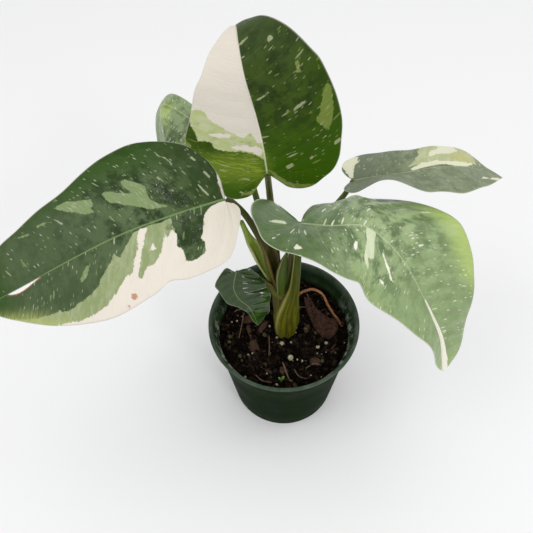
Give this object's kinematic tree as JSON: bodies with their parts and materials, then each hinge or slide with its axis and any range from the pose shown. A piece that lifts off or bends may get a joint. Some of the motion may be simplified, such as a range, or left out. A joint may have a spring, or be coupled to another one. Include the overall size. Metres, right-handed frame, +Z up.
{
  "type": "potted plant",
  "caption": "Young climbing foliage plant with heart-shaped, cream-variegated leaves on long stalks round an upright stem, planted in a round tapered pot.",
  "frame": {"origin": "centre of the pot's flat base, where it rests", "axes": "+Z up along the pot's axis; -Y towards the side that the largest leaf faces; +X to the right as seen from there"},
  "size_m": [0.3059, 0.1471, 0.3094],
  "materials": {
    "pot": "dark green moulded plastic, satin, dusty",
    "soil": "dark crumbly potting mix with white perlite, matte",
    "stem": "olive green stem skin, satin",
    "petiole": "olive green leaf stalk, satin",
    "sheath": "bright green sheath with a cream edge, satin",
    "leaf": "dark green blade with cream variegation, waxy satin",
    "aerial_root": "orange brown root bark, matte",
    "bark_chip": "brown pine bark, matte",
    "seedling": "fresh green, satin"
  },
  "bodies": {
    "root": {"pot": "pot", "soil": "soil", "stem": "stem", "leaf_c_petiole": "petiole", "leaf_a_petiole": "petiole", "young_sheath_front": "sheath", "young_sheath_back": "sheath", "leaf_d_petiole": "petiole", "leaf_e_petiole": "petiole", "leaf_f_petiole": "petiole", "leaf_b_petiole": "petiole", "leaf_b_sheath": "sheath", "aerial_root": "aerial_root", "leaf_a_blade": "leaf", "leaf_b_blade": "leaf", "leaf_c_blade": "leaf", "leaf_d_blade": "leaf", "leaf_e_blade": "leaf", "leaf_f_blade": "leaf", "bark_chip": "bark_chip", "seedling": "seedling"}
  },
  "joints": []
}
